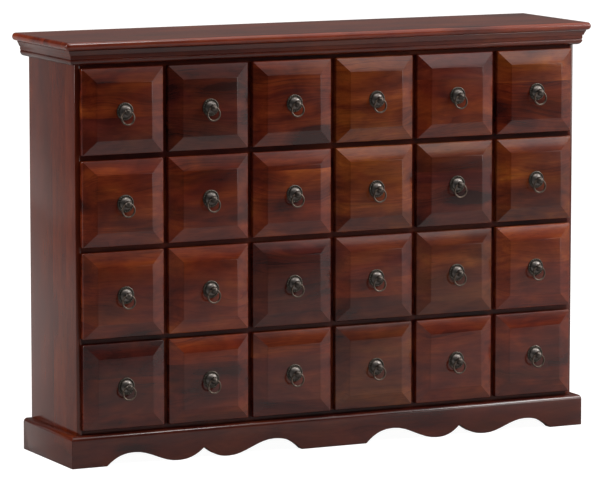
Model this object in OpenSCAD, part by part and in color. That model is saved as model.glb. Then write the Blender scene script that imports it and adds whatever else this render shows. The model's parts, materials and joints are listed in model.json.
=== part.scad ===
// Apothecary chest: a shallow carcass on a shaped plinth, with four rows of six square drawers.
// Lengths are millimetres. X runs to the right along the front, Y to the back and Z up.
// The origin lies on the floor, under the middle of the chest's whole box, pulls included.

/* [Chest] */
// Width over the two side panels
carcass_w = 1180; // [1120:1:1240]
// Depth of the side panels
carcass_d = 246; // [225:1:300]
// Height of the top surface over the floor
chest_h = 889; // [860:1:940]
// Thickness of the back panel
back_t = 6; // [4:0.5:9]
// Thickness of the rails under the top and under the bottom board
rail_t = 18; // [14:0.5:24]
// Height of the lower rails
lower_rail_h = 28; // [20:0.5:32]
// Depth of the grooves that hold the boards in the side panels
housing = 4; // [2:0.5:7]
// Depth of the grooves that hold the partitions in the boards
partition_housing = 3; // [2:0.5:5]

/* [Top and cornice] */
// Thickness of the top board, whose front and ends are full half rounds
top_t = 16.5; // [10:0.5:20]
// Overhang of the top board past each side panel
top_side = 30; // [26:0.5:45]
// Overhang of the top board past the carcass front
top_front = 31; // [26:0.5:40]
// Overhang of the top board past the carcass back
top_back = 18; // [18:0.5:40]
// Height of the cornice moulding
cornice_h = 32.5; // [28:0.5:44]
// Length of the moulding's returns past the carcass back
cornice_back = 12; // [0:0.5:18]
// Reach of the moulding under the top board
cornice_out = 21; // [18:0.5:24]
// Reach of the moulding's lower members
cornice_body = 15; // [12:0.5:17]
// Reach of the moulding's flat underside
cornice_foot = 5; // [3:0.5:8]
// Depth of the groove between the two lower members
cornice_groove = 1.6; // [0.5:0.1:2.5]
// Step of the cove's foot past the lower members
cornice_ledge = 2; // [0.5:0.25:2.5]
// Height of the straight band under the top board
cornice_band = 2; // [1:0.25:4]

/* [Plinth] */
// Height of the plinth boards
plinth_h = 67.5; // [60:0.5:80]
// Thickness of the plinth boards
plinth_t = 19; // [14:0.5:24]
// Radius of their rounded top edge
plinth_round = 9; // [4:0.5:12]
// Rise of the arches next to the feet
outer_arch = 25; // [15:0.5:32]
// Rise of the arches next to the flat middle
inner_arch = 28.5; // [15:0.5:32]
// Rise of the cusps between the two arches
cusp = 24; // [12:0.5:30]

/* [Drawer fronts] */
// Gap between neighbouring fronts, and outside the end ones
front_gap = 10.5; // [8:0.5:14]
// Gap between the plinth and the lowest fronts
foot_gap = 9; // [5:0.5:14]
// Gap between the highest fronts and the cornice
head_gap = 7; // [4:0.5:12]
// Thickness of a front at its edge
front_edge = 12; // [9:0.5:18]
// Rise of the flat field past the edge
front_raise = 11; // [6:0.5:15]
// Width of the bevel round the field
bevel_w = 30.5; // [20:0.5:45]
// Size of the eased arris round the edge
arris = 1; // [0.5:0.1:2]
// Lap of a front over each side of its bay
side_lap = 5; // [3:0.5:8]
// Lap of a front over its bay's floor and ceiling
floor_lap = 3; // [2:0.5:5]
// Space between a closed front and the carcass
seat_gap = 0.3; // [0.2:0.1:0.6]

/* [Drawer boxes] */
// Thickness of the box sides and back
box_t = 10; // [8:0.5:12]
// Thickness of the box bottom
box_floor_t = 5; // [3:0.5:7]
// Height of the bottom panel over the box's lower edge
floor_rise = 8; // [5:0.5:12]
// Depth of the grooves for the bottom panel and the back
box_groove = 4; // [3:0.5:6]
// Depth of the sides' seats in the front
front_housing = 5; // [3:0.5:8]
// Gap in every glued or screwed joint of a drawer
fit_gap = 0.1; // [0.05:0.05:0.2]
// Play between a box and each side of its bay
side_play = 1; // [0.5:0.1:2]
// Play between a box and its shelf
runner_play = 0.3; // [0.2:0.1:0.6]
// Space over a box in its bay
head_play = 14; // [6:0.5:25]
// Space between a closed box and the back panel
tail_play = 14; // [6:0.5:30]
// Length of the sides behind the box back
box_tail = 8; // [4:0.5:15]
// Drop of the box back below the sides' top
back_drop = 5; // [0:0.5:12]

/* [Pulls] */
// Radius of the rosette
rosette_r = 18.5; // [16:0.25:24]
// Thickness of the rosette
rosette_t = 1.8; // [1.2:0.1:2.5]
// Radius of the rosette's round rim
rim_r = 1.4; // [1:0.1:2]
// Radius of the rosette's dome at its base
dome_r = 11; // [8:0.25:13]
// Rise of the dome
dome_rise = 4; // [2:0.25:6]
// Radius of the neck
neck_r = 4; // [3:0.25:5]
// Radius of the ball
ball_r = 8; // [7:0.25:9]
// Distance of the ball's middle from the front's field
pivot_out = 16; // [14:0.25:19]
// Radius of the threaded post
post_r = 2.5; // [2:0.1:3]
// Radius of the nut over its corners
nut_r = 4.6; // [4:0.1:6]
// Thickness of the nut
nut_t = 3.5; // [2.5:0.1:5]
// Length of the post past its nut
post_tail = 1.5; // [0.5:0.1:3]
// Radius of the ring along its wire's middle
ring_r = 14; // [13:0.25:16]
// Radius of the ring's wire
wire_r = 1.9; // [1.5:0.1:2.2]
// Least play between the ring and the ball's cross hole
ring_play = 0.15; // [0.1:0.05:0.4]

/* [Screws] */
// Radius of the back panel's screw heads
head_r = 3.6; // [3:0.1:4.5]
// Height of the screw heads
head_h = 2.4; // [1.5:0.1:3]
// Radius of the screw shanks
shank_r = 1.6; // [1.2:0.1:2]
// Length of the screw shanks
shank_l = 26; // [15:0.5:32]
// Width of the slot in a screw head
slot_w = 0.8; // [0.5:0.1:1.2]

/* [Hidden] */
rows = 4;
columns = 6;
names = [for (r = [1 : rows]) for (c = [1 : columns]) str("r", r, "_c", c)];

// Colours
dark_wood = "#55271b";
front_wood = "#7a3a22";
box_wood = "#b48a5c";
pull_metal = "#5f574b";
steel = "#8d8d8a";

// How far a cut runs past what it cuts
over = 1;
// Facets round the turned parts
turned_fn = 48;

// Drawer fronts and the grid they lie in
cornice_z = chest_h - top_t - cornice_h;
front_w = (carcass_w - (columns + 1) * front_gap) / columns;
front_h = (cornice_z - head_gap - plinth_h - foot_gap - (rows - 1) * front_gap) / rows;
pitch_x = front_w + front_gap;
pitch_z = front_h + front_gap;
function column_x(c) = -carcass_w / 2 + front_gap + front_w / 2 + (c - 1) * pitch_x;
function row_z(r) = cornice_z - head_gap - front_h / 2 - (r - 1) * pitch_z;

// Bays behind the fronts, and the boards between them
bay_w = front_w - 2 * side_lap;
bay_h = front_h - 2 * floor_lap;
bay_d = carcass_d - back_t;
side_t = front_gap + side_lap;
partition_t = front_gap + 2 * side_lap;
board_t = front_gap + 2 * floor_lap;
inner_w = carcass_w - 2 * side_t;
top_z = chest_h - top_t;
// Middle of the board under row r, where row 0 has the dust board
function board_z(r) = row_z(1) + pitch_z / 2 - r * pitch_z;
base_z = board_z(rows) - board_t / 2;

// Drawer box, measured from the middle of the front and from the carcass front plane
box_w = bay_w - 2 * side_play;
box_z = runner_play - bay_h / 2;
box_h = bay_h - runner_play - head_play;
box_end = bay_d - tail_play;
seat_y = -seat_gap - front_housing;
box_l = box_end - seat_y;
panel_w = box_w - 2 * box_t + 2 * box_groove;
side_place = [box_w / 2 - box_t, seat_y, box_z];
side_size = [box_t, box_l, box_h];
floor_place = [-panel_w / 2, seat_y, box_z + floor_rise];
floor_size = [panel_w, box_l, box_floor_t];
back_place = [-panel_w / 2, box_end - box_tail - box_t, floor_place[2] + box_floor_t + fit_gap];
back_size = [panel_w, box_t, box_z + box_h - back_drop - back_place[2]];
fit = [fit_gap, fit_gap, fit_gap];

// Pulls
field_y = -seat_gap - front_edge - front_raise;
pivot_y = field_y - fit_gap - pivot_out;
// The ring's wire is centred on the cross hole's axis as it bends through the ball
hole_reach = sqrt(ball_r * ball_r - wire_r * wire_r);
ring_hang = (ring_r + wire_r + sqrt(pow(ring_r - wire_r, 2) - pow(hole_reach, 2))) / 2;
hole_r = ring_r + wire_r - ring_hang + ring_play;
post_l = front_edge + front_raise + nut_t + post_tail;

// The chest's front plane, placed so that the whole box is centred on the origin
pull_reach = ball_r - pivot_y;
carcass_y = (pull_reach - carcass_d - top_back) / 2;

// Shape of the apron's lower edge: half its length is 1, from the middle outwards
flat_share = 0.127;
inner_arch_share = 0.236;
inner_lobe_share = 0.408;
cusp_share = 0.501;
outer_lobe_share = 0.604;
outer_arch_share = 0.765;
foot_share = 0.869;
edge_power = 2.4;
edge_steps = 8;
half_plinth = carcass_w / 2 + plinth_t;
function quick(t) = 1 - pow(1 - t, edge_power);
function sway(t) = (1 - cos(180 * t)) / 2;
function steep(t) = pow(t, edge_power);
function between(a, b, t) = (a + (b - a) * t) * half_plinth;
edge_half = concat(
    [for (i = [0 : edge_steps]) let (t = i / edge_steps)
        [between(flat_share, inner_arch_share, t), inner_arch * quick(t)]],
    [for (i = [1 : edge_steps]) let (t = i / edge_steps)
        [between(inner_arch_share, inner_lobe_share, t), inner_arch * sway(1 - t)]],
    [for (i = [1 : edge_steps]) let (t = i / edge_steps)
        [between(inner_lobe_share, cusp_share, t), cusp * steep(t)]],
    [for (i = [1 : edge_steps]) let (t = i / edge_steps)
        [between(cusp_share, outer_lobe_share, t), cusp * steep(1 - t)]],
    [for (i = [1 : edge_steps]) let (t = i / edge_steps)
        [between(outer_lobe_share, outer_arch_share, t), outer_arch * sway(t)]],
    [for (i = [1 : edge_steps]) let (t = i / edge_steps)
        [between(outer_arch_share, foot_share, t), outer_arch * quick(1 - t)]],
    [[half_plinth, 0], [half_plinth, plinth_h]]);
edge_count = len(edge_half);

// Cornice profile: heights as shares of the whole, and the cove bends by this power
bead_share = 0.32;
groove_share = 0.1;
ledge_share = 0.65;
cove_power = 1.3;
profile_steps = 8;

// Places the children in the chest's frame, from a frame whose Y starts at the carcass front
module in_chest() {
    translate([0, carcass_y, 0]) children();
}

// Places the children on the middle of the front in row r and column c
module at_drawer(r, c) {
    in_chest() translate([column_x(c), 0, row_z(r)]) children();
}

// Turns a profile of (outwards, up) into a length along the front
module front_length(length) {
    rotate([90, 0, -90]) linear_extrude(height = length, center = true) children();
}

// Keeps the part of a moulding that lies between the mitres of the front
module front_mitre(reach, height) {
    intersection() {
        children();
        linear_extrude(height = height)
            polygon([[-carcass_w / 2, 0], [carcass_w / 2, 0],
                     [carcass_w / 2 + reach, -reach], [-carcass_w / 2 - reach, -reach]]);
    }
}

// Left and right returns of a moulding, mitred at the front and square at the back, at y = end
module returns(reach, height, end) {
    for (side = [0, 1]) mirror([side, 0, 0]) intersection() {
        translate([-carcass_w / 2, -reach, 0]) rotate([90, 0, 180])
            linear_extrude(height = end + reach) children();
        linear_extrude(height = height)
            polygon([[-carcass_w / 2, 0], [-carcass_w / 2 - reach, -reach],
                     [-carcass_w / 2 - reach, end], [-carcass_w / 2, end]]);
    }
}

module cornice_profile() {
    bead_h = cornice_h * bead_share;
    groove_h = cornice_h * groove_share;
    ledge_h = cornice_h * ledge_share;
    cove_in = cornice_body + cornice_ledge;
    cove_h = cornice_h - cornice_band - ledge_h;
    polygon(concat(
        [[0, 0]],
        [for (i = [0 : profile_steps]) let (a = 90 * i / profile_steps)
            [cornice_foot + (cornice_body - cornice_foot) * sin(a), bead_h * (1 - cos(a))]],
        [[cornice_body - cornice_groove, bead_h + groove_h / 2],
         [cornice_body, bead_h + groove_h], [cornice_body, ledge_h]],
        [for (i = [0 : profile_steps]) let (t = i / profile_steps)
            [cove_in + (cornice_out - cove_in) * pow(t, cove_power), ledge_h + cove_h * t]],
        [[cornice_out, cornice_h], [0, cornice_h]]));
}

module plinth_profile() {
    polygon(concat(
        [[0, 0], [plinth_t, 0]],
        [for (i = [0 : profile_steps]) let (a = 90 * i / profile_steps)
            [plinth_t - plinth_round * (1 - cos(a)), plinth_h - plinth_round * (1 - sin(a))]],
        [[0, plinth_h]]));
}

module top_board() {
    nose_r = top_t / 2;
    half_w = carcass_w / 2 + top_side - nose_r;
    front_y = nose_r - top_front;
    length = carcass_d + top_back - front_y;
    color(dark_wood) in_chest() translate([0, front_y, top_z + nose_r]) {
        translate([-half_w, 0, -nose_r]) cube([2 * half_w, length, top_t]);
        translate([-half_w, 0, 0]) rotate([0, 90, 0])
            cylinder(r = nose_r, h = 2 * half_w, $fn = turned_fn);
        for (side = [-1, 1]) translate([side * half_w, 0, 0]) {
            rotate([-90, 0, 0]) cylinder(r = nose_r, h = length, $fn = turned_fn);
            sphere(r = nose_r, $fn = turned_fn);
        }
    }
}

module cornice_front() {
    color(dark_wood) in_chest() translate([0, 0, cornice_z])
        front_mitre(cornice_out, cornice_h)
            front_length(carcass_w + 2 * cornice_out) cornice_profile();
}

module cornice_returns() {
    color(dark_wood) in_chest() translate([0, 0, cornice_z])
        returns(cornice_out, cornice_h, carcass_d + cornice_back) cornice_profile();
}

// The side panel for the left; the right one is its mirror image
module side_panel() {
    in_chest() difference() {
        translate([-carcass_w / 2, 0, 0]) cube([side_t, carcass_d, top_z]);
        for (r = [0 : rows])
            translate([-inner_w / 2 - housing, -over, board_z(r) - board_t / 2])
                cube([housing + over, bay_d + over, board_t]);
        translate([-inner_w / 2 - housing, bay_d, base_z])
            cube([housing + over, back_t + over, top_z - base_z + over]);
    }
}

module side_left() {
    color(dark_wood) side_panel();
}

module side_right() {
    color(dark_wood) mirror([1, 0, 0]) side_panel();
}

// Repeats the children at every screw of the back panel, on its rear face
module at_screws() {
    for (r = [0 : rows]) for (c = [1, 3, 4, 6])
        in_chest() translate([column_x(c), carcass_d, board_z(r)]) children();
}

module back_panel() {
    color(box_wood) difference() {
        in_chest() translate([-inner_w / 2 - housing, bay_d, base_z])
            cube([inner_w + 2 * housing, back_t, top_z - base_z]);
        at_screws() rotate([90, 0, 0])
            translate([0, 0, -over]) cylinder(r = shank_r, h = back_t + 2 * over, $fn = turned_fn);
    }
}

// The dust board, the three shelves and the bottom board
module shelf_boards() {
    color(dark_wood) difference() {
        in_chest() for (r = [0 : rows])
            translate([-inner_w / 2 - housing, 0, board_z(r) - board_t / 2])
                cube([inner_w + 2 * housing, bay_d, board_t]);
        in_chest() for (r = [1 : rows]) for (c = [1 : columns - 1])
            translate([column_x(c) + pitch_x / 2 - partition_t / 2, -over,
                       row_z(r) - bay_h / 2 - partition_housing])
                cube([partition_t, bay_d + 2 * over, bay_h + 2 * partition_housing]);
        at_screws() rotate([90, 0, 0])
            cylinder(r = shank_r, h = shank_l, $fn = turned_fn);
    }
}

module partitions() {
    color(dark_wood) in_chest() for (r = [1 : rows]) for (c = [1 : columns - 1])
        translate([column_x(c) + pitch_x / 2 - partition_t / 2, 0,
                   row_z(r) - bay_h / 2 - partition_housing])
            cube([partition_t, bay_d, bay_h + 2 * partition_housing]);
}

// Front and rear rails under the top board and under the bottom board
module rails() {
    dust_z = board_z(0) + board_t / 2;
    color(box_wood) in_chest() for (y = [0, bay_d - rail_t]) {
        translate([-inner_w / 2, y, dust_z]) cube([inner_w, rail_t, top_z - dust_z]);
        translate([-inner_w / 2, y, base_z - lower_rail_h]) cube([inner_w, rail_t, lower_rail_h]);
    }
}

module plinth_front() {
    color(dark_wood) in_chest() intersection() {
        front_mitre(plinth_t, plinth_h) front_length(2 * half_plinth) plinth_profile();
        rotate([90, 0, 0]) translate([0, 0, -over]) linear_extrude(height = plinth_t + 2 * over)
            polygon(concat(edge_half,
                           [for (i = [1 : edge_count]) let (p = edge_half[edge_count - i]) [-p[0], p[1]]]));
    }
}

module plinth_returns() {
    color(dark_wood) in_chest() returns(plinth_t, plinth_h, carcass_d) plinth_profile();
}

module back_screws() {
    color(steel) at_screws() {
        rotate([90, 0, 0]) cylinder(r = shank_r, h = shank_l, $fn = turned_fn);
        difference() {
            rotate([-90, 0, 0]) cylinder(r1 = head_r, r2 = head_r / 2, h = head_h, $fn = turned_fn);
            translate([-head_r, head_h / 2, -slot_w / 2]) cube([2 * head_r, head_h, slot_w]);
        }
    }
}

// Half outline of a front: from the rear face at the middle, round the edge, to the field
module front_outline(width) {
    half = width / 2;
    polygon([[half, -seat_gap], [half, arris - seat_gap - front_edge],
             [half - arris, -seat_gap - front_edge], [half - bevel_w, field_y],
             [bevel_w - half, field_y], [arris - half, -seat_gap - front_edge],
             [-half, arris - seat_gap - front_edge], [-half, -seat_gap]]);
}

module board(place, size) {
    translate(place) cube(size);
}

// The seat that a board is let into: its own size, with the gap of the joint all round
module seat(place, size) {
    board(place - fit, size + 2 * fit);
}

// Fielded front, with the seats of the sides and the bottom and the hole for the post
module drawer_front() {
    difference() {
        intersection() {
            translate([0, 0, -front_h / 2]) linear_extrude(height = front_h) front_outline(front_w);
            translate([-front_w / 2, 0, 0]) rotate([90, 0, 90])
                linear_extrude(height = front_w) rotate(-90) front_outline(front_h);
        }
        for (side = [0, 1]) mirror([side, 0, 0]) seat(side_place, side_size);
        seat(floor_place, floor_size);
        rotate([90, 0, 0]) translate([0, 0, -over])
            cylinder(r = post_r + fit_gap, h = 2 * over - field_y, $fn = turned_fn);
    }
}

module box_side() {
    difference() {
        board(side_place, side_size);
        seat(floor_place, floor_size);
        seat(back_place, back_size);
    }
}

// Rosette, neck, ball and threaded post, turned as one piece along the drawer's travel
module pull_base() {
    translate([0, field_y - fit_gap, 0]) rotate([90, 0, 0]) difference() {
        union() {
            cylinder(r = rosette_r - rim_r, h = rosette_t, $fn = turned_fn);
            translate([0, 0, rim_r]) rotate_extrude($fn = turned_fn)
                translate([rosette_r - rim_r, 0]) circle(r = rim_r, $fn = turned_fn);
            translate([0, 0, rosette_t])
                cylinder(r1 = dome_r, r2 = neck_r, h = dome_rise, $fn = turned_fn);
            cylinder(r = neck_r, h = pivot_out, $fn = turned_fn);
            translate([0, 0, pivot_out]) sphere(r = ball_r, $fn = turned_fn);
            translate([0, 0, -post_l]) cylinder(r = post_r, h = post_l, $fn = turned_fn);
        }
        translate([-ball_r - over, 0, pivot_out]) rotate([0, 90, 0])
            cylinder(r = hole_r, h = 2 * (ball_r + over), $fn = turned_fn);
    }
}

module pull_nut() {
    translate([0, fit_gap - seat_gap, 0]) rotate([-90, 0, 0]) difference() {
        cylinder(r = nut_r, h = nut_t, $fn = 6);
        translate([0, 0, -over])
            cylinder(r = post_r + fit_gap, h = nut_t + 2 * over, $fn = turned_fn);
    }
}

module drawer(r, c) {
    at_drawer(r, c) {
        color(front_wood) drawer_front();
        color(box_wood) {
            box_side();
            mirror([1, 0, 0]) box_side();
            board(back_place, back_size);
            board(floor_place, floor_size);
        }
        color(pull_metal) pull_base();
        color(steel) pull_nut();
    }
}

// Drop ring, threaded through the ball's cross hole
module ring(r, c) {
    color(pull_metal) at_drawer(r, c) translate([0, pivot_y, -ring_hang]) rotate([90, 0, 0])
        rotate_extrude($fn = turned_fn)
            translate([ring_r, 0]) circle(r = wire_r, $fn = turned_fn);
}

top_board();
cornice_front();
cornice_returns();
side_left();
side_right();
back_panel();
shelf_boards();
partitions();
rails();
plinth_front();
plinth_returns();
back_screws();
for (r = [1 : rows]) for (c = [1 : columns]) {
    drawer(r, c);
    ring(r, c);
}
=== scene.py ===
"""Apothecary chest: the looks of a glossy dark hardwood chest with twenty-four small drawers."""
import json
import math

import bmesh
import bpy
from mathutils import Matrix, Vector


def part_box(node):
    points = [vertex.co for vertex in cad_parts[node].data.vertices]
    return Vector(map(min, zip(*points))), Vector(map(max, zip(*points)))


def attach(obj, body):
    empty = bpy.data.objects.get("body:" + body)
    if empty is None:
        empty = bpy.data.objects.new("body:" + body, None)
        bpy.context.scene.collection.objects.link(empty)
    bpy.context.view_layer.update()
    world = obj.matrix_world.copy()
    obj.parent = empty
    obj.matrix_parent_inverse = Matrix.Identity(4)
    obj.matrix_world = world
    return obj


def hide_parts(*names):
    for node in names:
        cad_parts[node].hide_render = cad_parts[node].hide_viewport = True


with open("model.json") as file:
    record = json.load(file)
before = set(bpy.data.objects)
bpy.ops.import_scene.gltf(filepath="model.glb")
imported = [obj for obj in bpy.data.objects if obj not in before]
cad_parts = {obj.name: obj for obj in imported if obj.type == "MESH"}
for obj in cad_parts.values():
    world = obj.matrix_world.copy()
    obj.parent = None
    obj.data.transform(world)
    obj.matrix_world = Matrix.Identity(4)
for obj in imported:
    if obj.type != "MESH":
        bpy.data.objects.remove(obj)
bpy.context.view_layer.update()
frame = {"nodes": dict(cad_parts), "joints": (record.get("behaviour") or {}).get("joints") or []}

MM = 0.001
ROWS = 4
COLUMNS = 6

# Camera of the photograph: place from the middle of the carcass front at the floor, in metres, turn in
# degrees, focal length in pixels of the 600 wide image
CAMERA_PLACE = (-3.8994, -7.7943, 1.6004)
CAMERA_YAW = 26.147
CAMERA_PITCH = 7.583
CAMERA_ROLL = -0.027
FOCAL_PIXELS = 4125.7
IMAGE_WIDTH = 600
SENSOR_WIDTH = 36
CLIP_END = 100

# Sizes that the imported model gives
front_low, front_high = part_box("drawer_r1_c1")
side_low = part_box("side_left")[0]
pivots = {j["child"]: Vector(j["pos_m"]) for j in frame["joints"] if j["type"] == "hinge"}
PITCH_X = pivots["ring_r1_c2"].x - pivots["ring_r1_c1"].x
PITCH_Z = pivots["ring_r1_c1"].z - pivots["ring_r2_c1"].z
FRONT_W = front_high.x - front_low.x
FRONT_H = front_high.z - front_low.z
CARCASS_Y = side_low.y

# Drawer front, in metres from the carcass front plane
SEAT_GAP = 0.3 * MM
FRONT_EDGE = 12 * MM
FRONT_RAISE = 11 * MM
BEVEL_W = 30.5 * MM
RIM_ROUND = 2.8 * MM
CREASE_ROUND = 0.6 * MM
FIELD_Y = -SEAT_GAP - FRONT_EDGE - FRONT_RAISE

# Drawer box. The front laps over its bay by SIDE_LAP and FLOOR_LAP.
SIDE_LAP = 5 * MM
FLOOR_LAP = 3 * MM
SIDE_PLAY = 1 * MM
RUNNER_PLAY = 0.3 * MM
HEAD_PLAY = 14 * MM
BOX_T = 10 * MM
BOX_FLOOR_T = 5 * MM
BOX_GROOVE = 4 * MM
BOX_END = 226 * MM
FLOOR_RISE = 8 * MM
FLOOR_PLAY = 0.1 * MM
HOUSING = 5 * MM
BOX_TAIL = 8 * MM
BACK_DROP = 5 * MM
BOX_ROUND = 0.8 * MM
FLOOR_ROUND = 0.3 * MM
BAY_H = FRONT_H - 2 * FLOOR_LAP
BOX_W = FRONT_W - 2 * SIDE_LAP - 2 * SIDE_PLAY
BOX_Z = RUNNER_PLAY - BAY_H / 2
BOX_H = BAY_H - RUNNER_PLAY - HEAD_PLAY

# Pull. The rosette and its dome are (reach out from the field, radius) in millimetres, up to the neck.
PIVOT_OUT = 16 * MM
BALL_R = 8 * MM
BALL_STEPS = 16
NECK_R = 4.1 * MM
ROSETTE = [(0, 0), (0, 17.9), (0.5, 18.5), (1.2, 18.5), (1.7, 17.9), (1.9, 17.1), (1.5, 16.0), (1.2, 15.0),
           (1.3, 14.2), (2.0, 13.9), (3.3, 13.2), (4.5, 12.2), (5.6, 10.9), (6.5, 9.3), (7.1, 7.6),
           (7.5, 6.0), (7.8, 4.9), (8.4, 4.3), (9.1, 4.1)]
PULL_STEPS = 40
BEADS = 22
BEAD_R = 1.4 * MM
BEAD_OUT = 1.6 * MM
BEAD_CIRCLE_R = 16.5 * MM
DRILL_REACH = 12 * MM
DRILL_SIDES = 32
RING_R = 14 * MM
WIRE_R = 1.9 * MM
RING_PLAY = 0.15 * MM
RING_STEPS = 48
WIRE_STEPS = 14
HOLE_REACH = math.sqrt(BALL_R ** 2 - WIRE_R ** 2)
RING_HANG = (RING_R + WIRE_R + math.sqrt((RING_R - WIRE_R) ** 2 - HOLE_REACH ** 2)) / 2
HOLE_R = RING_R + WIRE_R - RING_HANG + RING_PLAY

# How near points are joined, how small a sliver is dropped, and which edges count as sharp or as flat
SPUN_WELD = 0.005 * MM
CUT_WELD = 0.002 * MM
CAD_WELD = 0.01 * MM
SLIVER = 0.1 * MM
NEAR = 0.1 * MM
SHARP = math.radians(25)
FLAT = math.radians(1)

# Parts of the wood's figure, as scales along and across the grain, in waves to the metre
BAND = (1.4, 13.0)
BLOTCH = (7.0, 15.0)
STREAK = (2.6, 75.0)
FIBRE = (20.0, 700.0)
FADE = (2.0, 16.0)
KNOT = (3.2, 9.0)
PATCH = (5.0, 17.0)
PORE = (38.0, 1150.0)
RIPPLE = (10.0, 130.0)

# Their weights in the tone, and the tones that reach the darkest and the palest colour
BAND_WEIGHT = 0.75
BLOTCH_WEIGHT = 0.7
STREAK_WEIGHT = 0.34
LINE_WEIGHT = 0.14
LOG_WEIGHT = 0.14
FIBRE_WEIGHT = 0.14
KNOT_WEIGHT = 0.4
TONE_MIDDLE = 0.89
TONE_REACH = 0.27

# Growth rings: how far each log is shifted, how the trunk wanders, and the rings' number to the metre
LOG_SHIFT = (5.0, 0.16, 0.07)
WANDER = (0.0, 0.11, 0.11)
WANDER_SCALE = 2.6
RINGS = 80.0
UNEVEN_SCALE = 60.0
UNEVEN_WEIGHT = 3.5
LINE_POWER = 2.6

# Changes of red, green and blue in patches of the stain
PURPLE = (-0.22, -0.34, 0.0)
GOLDEN = (0.15, 0.45, 0.1)
CAST_REACH = 0.14
PORE_DARK = 0.45

# Varnish over the wood
COAT_ROUGHNESS = 0.15
WOOD_SPECULAR = 0.02
WAVE_SCALE = (11.0, 11.0, 11.0)
RIPPLE_WEIGHT = 0.16

WHITE = (1.0, 1.0, 1.0, 1.0)


class Recipe:
    """A material under construction: add() makes a node, and other nodes' outputs feed its inputs."""

    def __init__(self, name, tree=None):
        if tree is None:
            self.material = bpy.data.materials.new(name)
            self.material.use_nodes = True
            tree = self.material.node_tree
        tree.nodes.clear()
        self.tree = tree

    def add(self, kind, inputs=None, **settings):
        node = self.tree.nodes.new("ShaderNode" + kind)
        for key, value in settings.items():
            setattr(node, key, value)
        for key, value in (inputs or {}).items():
            if isinstance(value, bpy.types.NodeSocket):
                self.tree.links.new(value, node.inputs[key])
            else:
                node.inputs[key].default_value = value
        return node

    def math(self, operation, *values):
        return self.add("Math", dict(enumerate(values)), operation=operation).outputs[0]

    def vector(self, operation, *values):
        return self.add("VectorMath", dict(enumerate(values)), operation=operation).outputs[0]

    def measure(self, operation, *values):
        """A vector operation that gives one number."""
        return self.add("VectorMath", dict(enumerate(values)), operation=operation).outputs["Value"]

    def total(self, *terms):
        """The sum of (value, weight) terms."""
        result = None
        for value, weight in terms:
            term = self.math("MULTIPLY", value, weight)
            result = term if result is None else self.math("ADD", result, term)
        return result

    def place(self, output="Object"):
        return self.add("TexCoord").outputs[output]

    def along_y(self, place):
        return self.add("SeparateXYZ", {0: place}).outputs[1]

    def grey(self, value):
        return self.add("CombineXYZ", {0: value, 1: value, 2: value}).outputs[0]

    def noise(self, vector, scale, detail=2.0, roughness=0.5, **inputs):
        values = {"Vector": vector, "Scale": scale, "Detail": detail, "Roughness": roughness}
        return self.add("TexNoise", {**values, **inputs}).outputs

    def stretch(self, vector, scales):
        """The vector with one scale along the grain and another across it."""
        along, across = scales
        return self.vector("MULTIPLY", vector, (along, across, across))

    def grain(self, vector, scales, detail=2.0, roughness=0.5, **inputs):
        return self.noise(self.stretch(vector, scales), 1.0, detail, roughness, **inputs)[0]

    def span(self, value, low, high, to_low=0.0, to_high=1.0):
        return self.add("MapRange", {"Value": value, "From Min": low, "From Max": high,
                                     "To Min": to_low, "To Max": to_high}).outputs[0]

    def ramp(self, value, stops):
        node = self.add("ValToRGB", {0: value})
        elements = node.color_ramp.elements
        while len(elements) < len(stops):
            elements.new(0.5)
        for element, (place, colour) in zip(elements, stops):
            element.position = place
            element.color = (*colour, 1.0)
        return node.outputs[0]

    def bump(self, height, strength, distance):
        return self.add("Bump", {"Height": height, "Strength": strength, "Distance": distance}).outputs[0]

    def finish(self, shader):
        self.add("OutputMaterial", {"Surface": shader})
        return self.material


# Turns that bring each direction of grain onto the first axis of the pattern
GRAIN_TURN = {"X": (0, 0, 0), "Y": (0, 0, math.radians(-90)), "Z": (0, math.radians(90), 0)}


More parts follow.
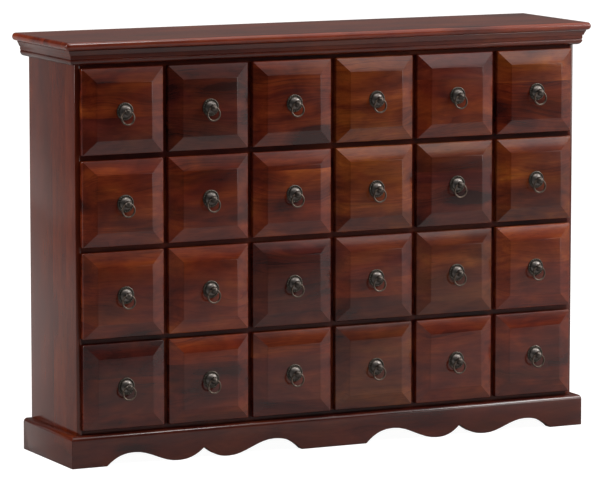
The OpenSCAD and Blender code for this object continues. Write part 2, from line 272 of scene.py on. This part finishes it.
def wood(name, tones, grain="X", board=(0, 0, 0), start=(0, 0, 0), seed=0.0, figure=1.0, hues=1.0,
         gloss=1.0, rough=0.5, bevel_lift=1.0):
    """Varnished hardwood. tones run from the darkest growth lines to the palest streaks.
    board is the size of the glued boards, from start, and each board is cut from another log.
    figure is how strongly the grain shows, and hues how far its patches change colour.
    bevel_lift is how much lighter a front's bevels are coloured than its field."""
    r = Recipe(name)
    place = r.place()
    cell = r.vector("SNAP", r.vector("SUBTRACT", place, start), board)
    log = r.add("TexWhiteNoise", {"Vector": r.vector("ADD", cell, (seed, seed * 1.7, seed * 0.6))},
                noise_dimensions="3D")
    turned = r.add("Mapping", {"Vector": place, "Rotation": GRAIN_TURN[grain]}).outputs[0]
    shifted = r.vector("ADD", turned, r.vector("MULTIPLY", log.outputs["Color"], LOG_SHIFT))

    # The trunk leans and wanders along the board
    wander = r.noise(r.stretch(shifted, (1.0, 4.0)), WANDER_SCALE)["Color"]
    wander = r.vector("MULTIPLY", r.vector("SUBTRACT", wander, (0.5, 0.5, 0.5)), WANDER)
    bent = r.vector("ADD", shifted, wander)

    # Growth rings of uneven width, which fade in and out
    parts = r.add("SeparateXYZ", {0: bent}).outputs
    reach = r.math("SQRT", r.math("ADD", r.math("POWER", parts[1], 2.0), r.math("POWER", parts[2], 2.0)))
    uneven = r.add("TexNoise", {"W": r.math("MULTIPLY", reach, UNEVEN_SCALE), "Scale": 1.0, "Detail": 2.0},
                   noise_dimensions="1D").outputs[0]
    years = r.total((reach, RINGS), (uneven, UNEVEN_WEIGHT))
    line = r.math("POWER", r.math("FRACT", years), LINE_POWER)
    fade = r.span(r.grain(shifted, FADE), 0.4, 0.65)

    # Broad bands, blotches, streaks, fibres and knots stretched along the grain
    fibre = r.grain(shifted, FIBRE, 2.0, 0.6)
    knot = r.add("TexVoronoi", {"Vector": r.stretch(bent, KNOT), "Scale": 1.0}).outputs[0]
    tone = r.total((r.grain(bent, BAND), BAND_WEIGHT),
                   (r.grain(shifted, BLOTCH, 3.0, 0.6, Distortion=0.6), BLOTCH_WEIGHT),
                   (r.grain(bent, STREAK, 3.0, 0.6), STREAK_WEIGHT),
                   (r.math("MULTIPLY", line, fade), -LINE_WEIGHT),
                   (r.math("SUBTRACT", log.outputs["Value"], 0.5), LOG_WEIGHT),
                   (r.math("SUBTRACT", fibre, 0.5), FIBRE_WEIGHT))
    tone = r.math("SUBTRACT", tone, r.span(knot, 0.06, 0.26, KNOT_WEIGHT, 0.0))
    tone = r.span(tone, TONE_MIDDLE - TONE_REACH / figure, TONE_MIDDLE + TONE_REACH / figure)
    colour = r.ramp(tone, [(i / (len(tones) - 1), t) for i, t in enumerate(tones)])

    # Patches of a golden and of a purple cast
    cast = r.span(r.grain(shifted, PATCH, 3.0, 0.6, Distortion=0.8),
                  0.5 - CAST_REACH / figure, 0.5 + CAST_REACH / figure)
    purple, golden = [tuple(1 + hues * c for c in change) for change in (PURPLE, GOLDEN)]
    cast = r.ramp(cast, [(0.0, purple), (0.5, (1.0, 1.0, 1.0)), (1.0, golden)])
    colour = r.vector("MULTIPLY", colour, cast)

    # The bevels lie deeper than the field, and bevel_lift colours them lighter
    depth = r.math("SUBTRACT", r.along_y(place), CARCASS_Y + FIELD_Y)
    colour = r.vector("MULTIPLY", colour, r.grey(r.span(depth, 0.2 * MM, 2 * MM, 1.0, bevel_lift)))

    # Open pores, as short dark dashes
    pore = r.span(r.grain(shifted, PORE, 1.0, 0.5), 0.62, 0.7)
    colour = r.add("Mix", {0: r.math("MULTIPLY", pore, PORE_DARK), 6: colour, 7: (*tones[0], 1.0)},
                   data_type="RGBA").outputs[2]
    height = r.math("SUBTRACT", r.math("MULTIPLY", fibre, 0.6), r.math("MULTIPLY", pore, 0.6))

    # The varnish lies in slow waves and in fine ripples along the grain
    wave = r.noise(r.vector("MULTIPLY", place, WAVE_SCALE), 1.0, 1.5, 0.5)[0]
    ripple = r.math("MULTIPLY", r.grain(shifted, RIPPLE, 2.0, 0.6), RIPPLE_WEIGHT)
    varnish = r.bump(r.math("ADD", wave, ripple), 0.3, 1.5 * MM)
    shader = r.add("BsdfPrincipled", {"Base Color": colour,
                                      "Roughness": r.span(pore, 0.0, 1.0, rough, rough + 0.15),
                                      "Normal": r.bump(height, 0.15, 0.4 * MM),
                                      "Coat Weight": gloss, "Coat Roughness": COAT_ROUGHNESS,
                                      "Coat Normal": varnish, "Specular IOR Level": WOOD_SPECULAR})
    return r.finish(shader.outputs[0])


def metal(name, depth, tones, rough):
    """Antique cast metal. tones are (share of the depth, colour), going out from the drawer's field."""
    r = Recipe(name)
    place = r.place()
    out = r.math("SUBTRACT", FIELD_Y + CARCASS_Y, r.along_y(place))
    patina = r.noise(place, 110.0, 4.0, 0.6)[0]
    pits = r.noise(place, 700.0)[0]
    wear = r.grey(r.span(patina, 0.35, 0.65, 0.7, 1.25))
    colour = r.vector("MULTIPLY", r.ramp(r.span(out, 0.0, depth), tones), wear)
    shader = r.add("BsdfPrincipled", {"Base Color": colour, "Metallic": 1.0,
                                      "Normal": r.bump(r.math("ADD", pits, patina), 0.12, 0.3 * MM),
                                      "Roughness": r.span(patina, 0.35, 0.65, rough + 0.1, rough - 0.04)})
    return r.finish(shader.outputs[0])


# Stained and bare tones, as linear colours from the darkest growth line to the palest streak
TONES = {
    "crown": [(0.075, 0.0095, 0.004), (0.145, 0.0195, 0.007),
              (0.215, 0.032, 0.011), (0.30, 0.052, 0.017)],
    "amber": [(0.040, 0.0045, 0.0010), (0.09, 0.0135, 0.0022),
              (0.155, 0.029, 0.0046), (0.28, 0.066, 0.0105)],
    "copper": [(0.040, 0.0042, 0.0011), (0.09, 0.0103, 0.0022),
               (0.148, 0.0205, 0.0040), (0.25, 0.045, 0.0085)],
    "russet": [(0.028, 0.0028, 0.0011), (0.07, 0.0077, 0.0020),
               (0.122, 0.0163, 0.0036), (0.21, 0.036, 0.007)],
    "umber": [(0.022, 0.0030, 0.0012), (0.056, 0.0085, 0.0022),
              (0.096, 0.0175, 0.0043), (0.16, 0.034, 0.0078)],
    "maroon": [(0.018, 0.0020, 0.0013), (0.047, 0.0056, 0.0026),
               (0.083, 0.0115, 0.0045), (0.135, 0.022, 0.0075)],
    "pale": [(0.20, 0.105, 0.045), (0.33, 0.19, 0.09), (0.45, 0.28, 0.14), (0.55, 0.37, 0.20)],
    "ply": [(0.13, 0.062, 0.028), (0.19, 0.096, 0.043), (0.25, 0.135, 0.063), (0.30, 0.17, 0.085)],
}
BARE = {"figure": 0.5, "hues": 0.1, "gloss": 0.0, "rough": 0.7}
GRID_START = (pivots["ring_r1_c1"].x - PITCH_X / 2, 0, pivots["ring_r4_c1"].z - PITCH_Z / 2)
BOARDS_START = (0, -0.2, 0)
TOP_BOARD_W = 93 * MM
SIDE_BOARD_W = 71 * MM
front_woods = {}
for number, tone_name in enumerate(("amber", "russet", "umber", "maroon", "copper")):
    front_woods[tone_name] = wood("front_" + tone_name, TONES[tone_name], "X", (PITCH_X, 0, PITCH_Z),
                                  GRID_START, seed=3.1 * number + 1.0, bevel_lift=1.2)
top_wood = wood("top_wood", TONES["crown"], "X", (0, TOP_BOARD_W, 0), BOARDS_START, seed=11.0, figure=0.7)
side_wood = wood("side_wood", TONES["russet"], "Z", (0, SIDE_BOARD_W, 0), BOARDS_START, seed=5.0,
                 figure=0.5)
long_wood = wood("long_wood", TONES["russet"], "X", seed=2.6, figure=0.6)
plinth_wood = wood("plinth_wood", TONES["maroon"], "X", seed=3.7, figure=0.7)
return_wood = wood("return_wood", TONES["russet"], "Y", seed=6.1, figure=0.6)
rail_wood = wood("rail_wood", TONES["maroon"], "X", seed=7.3, gloss=0.4)
inner_wood = wood("inner_wood", TONES["maroon"], "Y", seed=8.8, gloss=0.3, rough=0.6)
box_wood = wood("box_wood", TONES["pale"], "Y", (PITCH_X, 0, 0), GRID_START, seed=9.4, **BARE)
frame_wood = wood("frame_wood", TONES["pale"], "X", seed=4.9, **BARE)
back_wood = wood("back_wood", TONES["ply"], "Z", seed=12.3, figure=0.6, hues=0.1, gloss=0.0, rough=0.65)
pull_metal = metal("pull_metal", PIVOT_OUT, [(0.0, (0.075, 0.065, 0.052)), (0.14, (0.085, 0.072, 0.06)),
                                             (0.3, (0.165, 0.147, 0.135)), (0.5, (0.165, 0.147, 0.135)),
                                             (0.7, (0.10, 0.084, 0.073))], 0.42)
ring_metal = metal("ring_metal", 30 * MM, [(0.0, (0.12, 0.09, 0.072)), (1.0, (0.14, 0.106, 0.085))], 0.44)
steel = metal("steel", 1.0, [(0.0, (0.5, 0.5, 0.5))], 0.35)


def make_piece(name, bm, materials, smooth=35.0):
    """Turns a bmesh into a piece whose faces point outwards, smooth across edges under that angle."""
    bmesh.ops.recalc_face_normals(bm, faces=bm.faces)
    for face in bm.faces:
        face.smooth = True
    for edge in bm.edges:
        edge.smooth = len(edge.link_faces) == 2 and edge.calc_face_angle() < math.radians(smooth)
    mesh = bpy.data.meshes.new(name)
    bm.to_mesh(mesh)
    bm.free()
    for material in materials:
        mesh.materials.append(material)
    piece = bpy.data.objects.new(name, mesh)
    bpy.context.scene.collection.objects.link(piece)
    return piece


def soften(bm, edges, width, segments=2):
    """Rounds the edges over."""
    bmesh.ops.bevel(bm, geom=edges, offset=width, offset_type="OFFSET", segments=segments,
                    profile=0.5, affect="EDGES", material=-1, clamp_overlap=True)


def add_block(bm, low, high, width=0.0):
    """Adds a block between two corners, its edges rounded over by width."""
    made = bmesh.ops.create_cube(bm, size=1.0)["verts"]
    low, high = Vector(low), Vector(high)
    bmesh.ops.scale(bm, vec=high - low, verts=made)
    bmesh.ops.translate(bm, vec=(low + high) / 2, verts=made)
    if width:
        soften(bm, [e for e in bm.edges if e.verts[0] in made], width)


def sharp_edges(bm):
    return [e for e in bm.edges if len(e.link_faces) == 2 and e.calc_face_angle() > SHARP]


def dressed(node, material, width, segments=2, keep=None):
    """A copy of a node with its hard edges rounded over, where keep(edge middle) allows."""
    bm = bmesh.new()
    bm.from_mesh(frame["nodes"][node].data)
    bmesh.ops.remove_doubles(bm, verts=bm.verts, dist=CAD_WELD)
    bmesh.ops.dissolve_limit(bm, angle_limit=FLAT, use_dissolve_boundaries=False,
                             verts=bm.verts, edges=bm.edges)
    edges = [e for e in sharp_edges(bm)
             if keep is None or keep((e.verts[0].co + e.verts[1].co) / 2)]
    soften(bm, edges, width, segments)
    bmesh.ops.dissolve_degenerate(bm, edges=bm.edges, dist=SLIVER)
    piece = make_piece(node + "_wood", bm, [material])
    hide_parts(node)
    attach(piece, "carcass")


def make_front():
    """Fielded front about the middle of its rear plane, with Z up and its face towards -Y."""
    bm = bmesh.new()
    half_w, half_h = FRONT_W / 2, FRONT_H / 2
    add_block(bm, (-half_w, -SEAT_GAP - FRONT_EDGE, -half_h), (half_w, -SEAT_GAP, half_h))
    bmesh.ops.recalc_face_normals(bm, faces=bm.faces)
    field = min(bm.faces, key=lambda f: f.calc_center_median().y)
    bmesh.ops.inset_region(bm, faces=[field], thickness=BEVEL_W, depth=0.0, use_even_offset=True)
    bmesh.ops.translate(bm, vec=(0, -FRONT_RAISE, 0), verts=field.verts)
    rim = [e for e in sharp_edges(bm) if not any(v in field.verts for v in e.verts)
           and min(v.co.y for v in e.verts) < -SEAT_GAP - FRONT_EDGE / 2]
    soften(bm, rim, RIM_ROUND, 4)
    crease = [e for e in bm.edges if all(abs(v.co.y - FIELD_Y) < 0.01 * MM for v in e.verts)]
    soften(bm, crease, CREASE_ROUND)
    return bm


def make_box():
    """Two sides, a back and a bottom, in the same frame as the front."""
    bm = bmesh.new()
    seat_y = -SEAT_GAP - HOUSING
    inner = BOX_W / 2 - BOX_T
    for side in (-1, 1):
        x = sorted((side * inner, side * BOX_W / 2))
        add_block(bm, (x[0], seat_y, BOX_Z), (x[1], BOX_END, BOX_Z + BOX_H), BOX_ROUND)
    floor_z = BOX_Z + FLOOR_RISE
    panel = inner + BOX_GROOVE
    add_block(bm, (-panel, seat_y, floor_z), (panel, BOX_END, floor_z + BOX_FLOOR_T), FLOOR_ROUND)
    back_end = BOX_END - BOX_TAIL
    add_block(bm, (-panel, back_end - BOX_T, floor_z + BOX_FLOOR_T + FLOOR_PLAY),
              (panel, back_end, BOX_Z + BOX_H - BACK_DROP), BOX_ROUND)
    return bm


def spin(bm, geometry, centre, steps):
    """Spins the geometry once round an axis along Y through the centre, and closes it."""
    bmesh.ops.spin(bm, geom=geometry, cent=centre, axis=(0, 1, 0), dvec=(0, 0, 0),
                   angle=math.tau, steps=steps, use_merge=True, use_duplicate=False)
    bmesh.ops.remove_doubles(bm, verts=bm.verts, dist=SPUN_WELD)


def drilled(bm, low, high, radius):
    """The closed shape with a round hole from one point to the other."""
    drill = bmesh.new()
    low, high = Vector(low), Vector(high)
    place = Matrix.Translation((low + high) / 2) @ (high - low).to_track_quat("Z", "Y").to_matrix().to_4x4()
    bmesh.ops.create_cone(drill, cap_ends=True, segments=DRILL_SIDES, radius1=radius, radius2=radius,
                          depth=(high - low).length, matrix=place)
    pieces = []
    for shape in (bm, drill):
        bmesh.ops.recalc_face_normals(shape, faces=shape.faces)
        mesh = bpy.data.meshes.new("blank")
        shape.to_mesh(mesh)
        shape.free()
        pieces.append(bpy.data.objects.new("blank", mesh))
        bpy.context.scene.collection.objects.link(pieces[-1])
    cut = pieces[0].modifiers.new("hole", "BOOLEAN")
    cut.operation = "DIFFERENCE"
    cut.solver = "EXACT"
    cut.object = pieces[1]
    result = bmesh.new()
    result.from_object(pieces[0], bpy.context.evaluated_depsgraph_get())
    for piece in pieces:
        mesh = piece.data
        bpy.data.objects.remove(piece)
        bpy.data.meshes.remove(mesh)
    bmesh.ops.remove_doubles(result, verts=result.verts, dist=CUT_WELD)
    return result


def make_pull():
    """Rosette with a beaded rim, dome, neck and drilled ball, cast in one."""
    bm = bmesh.new()
    start = math.asin(NECK_R / BALL_R)
    ball = []
    for i in range(BALL_STEPS + 1):
        angle = start + (math.pi - start) * i / BALL_STEPS
        ball.append((PIVOT_OUT / MM - BALL_R / MM * math.cos(angle), BALL_R / MM * math.sin(angle)))
    ball[-1] = ((PIVOT_OUT + BALL_R) / MM, 0)
    verts = [bm.verts.new((radius * MM, FIELD_Y - out * MM, 0)) for out, radius in ROSETTE + ball]
    edges = [bm.edges.new(pair) for pair in zip(verts, verts[1:])]
    spin(bm, verts + edges, (0, 0, 0), PULL_STEPS)
    pivot_y = FIELD_Y - PIVOT_OUT
    bm = drilled(bm, (-DRILL_REACH, pivot_y, 0), (DRILL_REACH, pivot_y, 0), HOLE_R)
    for i in range(BEADS):
        angle = math.tau * i / BEADS
        bead = Matrix.Translation((BEAD_CIRCLE_R * math.cos(angle), FIELD_Y - BEAD_OUT,
                                   BEAD_CIRCLE_R * math.sin(angle)))
        bmesh.ops.create_icosphere(bm, subdivisions=2, radius=BEAD_R, matrix=bead)
    return bm


def make_ring():
    """Round drop ring, threaded through the ball."""
    bm = bmesh.new()
    centre = Vector((0, 0, -RING_HANG))
    section = bmesh.ops.create_circle(bm, cap_ends=False, segments=WIRE_STEPS, radius=WIRE_R)["verts"]
    bmesh.ops.translate(bm, verts=section, vec=centre + Vector((RING_R, 0, 0)))
    spin(bm, bm.edges[:] + bm.verts[:], centre, RING_STEPS)
    return bm


# The boards of each front, from the top down, as a tone and the share of the height that it takes
BOARDS = {
    (1, 1): [("russet", 0.57), ("maroon", 0.43)],
    (1, 2): [("maroon", 1.0)],
    (1, 3): [("russet", 1.0)],
    (1, 4): [("amber", 1.0)],
    (1, 5): [("maroon", 0.3), ("russet", 0.7)],
    (1, 6): [("amber", 0.38), ("russet", 0.62)],
    (2, 1): [("russet", 1.0)],
    (2, 2): [("copper", 1.0)],
    (2, 3): [("russet", 0.22), ("copper", 0.78)],
    (2, 4): [("amber", 1.0)],
    (2, 5): [("umber", 0.34), ("maroon", 0.66)],
    (2, 6): [("amber", 1.0)],
    (3, 1): [("russet", 1.0)],
    (3, 2): [("copper", 1.0)],
    (3, 3): [("maroon", 1.0)],
    (3, 4): [("maroon", 0.5), ("russet", 0.22), ("umber", 0.28)],
    (3, 5): [("umber", 1.0)],
    (3, 6): [("russet", 1.0)],
    (4, 1): [("maroon", 0.4), ("russet", 0.6)],
    (4, 2): [("copper", 0.3), ("russet", 0.7)],
    (4, 3): [("russet", 0.3), ("maroon", 0.7)],
    (4, 4): [("umber", 1.0)],
    (4, 5): [("russet", 1.0)],
    (4, 6): [("russet", 1.0)],
}

pull_shape = make_pull()
for row in range(1, ROWS + 1):
    for column in range(1, COLUMNS + 1):
        label = f"r{row}_c{column}"
        pivot = pivots["ring_" + label]
        middle = Vector((pivot.x, CARCASS_Y, pivot.z))
        body = "drawer_" + label

        bm = make_front()
        boards = BOARDS[row, column]
        height = FRONT_H / 2
        for number, (tone_name, share) in enumerate(boards[:-1]):
            height -= share * FRONT_H
            bmesh.ops.bisect_plane(bm, geom=bm.verts[:] + bm.edges[:] + bm.faces[:], dist=0.001 * MM,
                                   plane_co=(0, 0, height), plane_no=(0, 0, 1))
            for face in bm.faces:
                if face.calc_center_median().z < height:
                    face.material_index = number + 1
        bmesh.ops.translate(bm, vec=middle, verts=bm.verts)
        front = make_piece("front_" + label, bm, [front_woods[t] for t, share in boards],
                           smooth=15.0)
        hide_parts(body)
        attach(front, body)

        bm = make_box()
        bmesh.ops.translate(bm, vec=middle, verts=bm.verts)
        box = make_piece("box_" + label, bm, [box_wood])
        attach(box, body)

        bm = pull_shape.copy()
        bmesh.ops.translate(bm, vec=middle, verts=bm.verts)
        pull = make_piece("pull_" + label, bm, [pull_metal], smooth=40.0)
        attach(pull, body)

        bm = make_ring()
        bmesh.ops.translate(bm, vec=pivot, verts=bm.verts)
        ring = make_piece("drop_ring_" + label, bm, [ring_metal])
        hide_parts("ring_" + label)
        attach(ring, "ring_" + label)

# Carcass. Only the outer and the front edges of the side panels are rounded over.
dressed("side_left", side_wood, 1.5 * MM, 3,
        lambda middle: middle.x < side_low.x + NEAR or middle.y < side_low.y + NEAR)
dressed("side_right", side_wood, 1.5 * MM, 3,
        lambda middle: middle.x > -side_low.x - NEAR or middle.y < side_low.y + NEAR)
dressed("top_board", top_wood, 0.4 * MM)
dressed("cornice_front", long_wood, 0.3 * MM)
dressed("cornice_returns", return_wood, 0.3 * MM)
dressed("plinth_front", plinth_wood, 1.0 * MM)
dressed("plinth_returns", return_wood, 1.0 * MM)
for node, material in (("back_panel", back_wood), ("shelf_boards", rail_wood), ("partitions", inner_wood),
                       ("rails", frame_wood), ("back_screws", steel)):
    mesh = frame["nodes"][node].data
    mesh.materials.clear()
    mesh.materials.append(material)

# Soft lamps, as name, place, target, size and power
LAMPS = (
    ("key_lamp", (2.9, -1.6, 2.2), (0.1, -0.1, 0.45), (1.5, 1.1), 68),
    ("high_lamp", (0.4, -1.7, 3.6), (0.0, -0.1, 0.45), (0.8, 0.6), 25),
    ("side_lamp", (-3.2, 0.6, 1.5), (-0.6, 0.0, 0.45), (1.2, 1.2), 55),
    ("wide_panel", (1.9, -2.6, 3.0), (0.9, -0.1, 1.3), (2.0, 1.4), 2.4),
    ("bright_panel", (2.2, -2.6, 3.05), (0.9, -0.1, 1.3), (1.2, 1.2), 6),
    ("rear_left_panel", (-1.95, 2.75, 0.75), (-0.6, 0.0, 0.6), (1.8, 1.1), 1.6),
    ("right_panel", (3.5, -1.8, 0.9), (0.2, -0.1, 0.45), (2.5, 1.8), 9),
)
for name, place, target, size, power in LAMPS:
    data = bpy.data.lights.new(name, "AREA")
    data.shape = "RECTANGLE"
    data.size, data.size_y = size
    data.energy = power
    lamp = bpy.data.objects.new(name, data)
    bpy.context.scene.collection.objects.link(lamp)
    lamp.location = place
    lamp.visible_camera = False
    lamp.rotation_mode = "QUATERNION"
    lamp.rotation_quaternion = (Vector(target) - Vector(place)).to_track_quat("-Z", "Y")

# Bright fields of the room: the way to each, the cosines where it is full and where it ends, its strength
ROOM_GLOW = 0.03
ROOM_TINT = (1.0, 0.97, 0.94, 1.0)
ROOM_FIELDS = (
    ((0.1, 0.0, 1.0), 0.97, 0.62, 1.8),
    ((0.75, -0.65, 0.04), 0.992, 0.95, 4.5),
    ((0.44, 0.89, 0.13), 0.97, 0.85, 0.09),
)

# Painted pools of light on the floor, seen only by rays other than the camera's: middle, the radii where
# each is full and where it ends, its strength
FLOOR_SIZE = 30.0
# FLOOR_SHADE is the painted shade of the floor outside the painted pools of light
FLOOR_SHADE = 0.03
FLOOR_GLOW = 0.97
FLOOR_PAPER = (0.25, 0.25, 0.25, 1.0)
FLOOR_PAINTED_LIGHT_POOLS = (
    ((0.3, -0.6, 0.0), 0.5, 2.0, 0.17),
    ((2.8, -2.3, 0.0), 0.8, 2.7, 0.24),
    ((5.3, -7.2, 0.0), 0.8, 2.4, 0.9),
    ((-1.6, 2.6, 0.0), 1.0, 8.0, 0.4),
)


def make_room():
    """The room lights the chest with its bright fields. The camera sees plain white."""
    world = bpy.data.worlds.new("studio")
    bpy.context.scene.world = world
    world.use_nodes = True
    r = Recipe("room", world.node_tree)
    toward = r.vector("NORMALIZE", r.place("Generated"))
    glow = ROOM_GLOW
    for way, inner, outer, strength in ROOM_FIELDS:
        near = r.measure("DOT_PRODUCT", toward, Vector(way).normalized())
        glow = r.math("ADD", glow, r.span(near, outer, inner, 0.0, strength))
    room = r.add("Background", {"Color": ROOM_TINT, "Strength": glow}).outputs[0]
    white = r.add("Background", {"Color": WHITE, "Strength": 1.0}).outputs[0]
    seen = r.add("LightPath").outputs["Is Camera Ray"]
    r.add("OutputWorld", {"Surface": r.add("MixShader", {0: seen, 1: room, 2: white}).outputs[0]})


def make_floor():
    """Pale floor. To rays other than the camera's it is painted shade with painted pools of light. The
    varnish mirrors these bright patches, and they light the chest from below. The camera sees the floor
    almost white.
    """
    bm = bmesh.new()
    bmesh.ops.create_grid(bm, x_segments=1, y_segments=1, size=FLOOR_SIZE)
    mesh = bpy.data.meshes.new("floor")
    bm.to_mesh(mesh)
    bm.free()
    floor = bpy.data.objects.new("floor", mesh)
    bpy.context.scene.collection.objects.link(floor)
    r = Recipe("floor")
    place = r.place()
    # Painted shade with painted pools of light, for rays other than the camera's
    shade = FLOOR_SHADE
    for middle, inner, outer, strength in FLOOR_PAINTED_LIGHT_POOLS:
        reach = r.measure("DISTANCE", place, middle)
        shade = r.math("ADD", shade, r.span(reach, inner, outer, strength, 0.0))
    seen = r.add("LightPath").outputs["Is Camera Ray"]
    mirrored = r.add("BsdfDiffuse", {"Color": r.grey(shade)}).outputs[0]
    glow = r.add("Emission", {"Color": WHITE, "Strength": FLOOR_GLOW}).outputs[0]
    dim = r.add("BsdfDiffuse", {"Color": FLOOR_PAPER}).outputs[0]
    paper = r.add("AddShader", {0: dim, 1: glow}).outputs[0]
    mesh.materials.append(r.finish(r.add("MixShader", {0: seen, 1: mirrored, 2: paper}).outputs[0]))


make_room()
make_floor()

# Camera
camera_data = bpy.data.cameras.new("camera")
camera_data.sensor_width = SENSOR_WIDTH
camera_data.lens = FOCAL_PIXELS / IMAGE_WIDTH * SENSOR_WIDTH
camera_data.clip_end = CLIP_END
camera = bpy.data.objects.new("camera", camera_data)
bpy.context.scene.collection.objects.link(camera)
bpy.context.scene.camera = camera
turn = (Matrix.Rotation(math.radians(-CAMERA_YAW), 4, "Z")
        @ Matrix.Rotation(math.radians(90 - CAMERA_PITCH), 4, "X")
        @ Matrix.Rotation(math.radians(-CAMERA_ROLL), 4, "Z"))
camera.matrix_world = Matrix.Translation(Vector(CAMERA_PLACE) + Vector((0, CARCASS_Y, 0))) @ turn

view_settings = bpy.context.scene.view_settings
view_settings.view_transform = "Standard"
view_settings.look = "None"
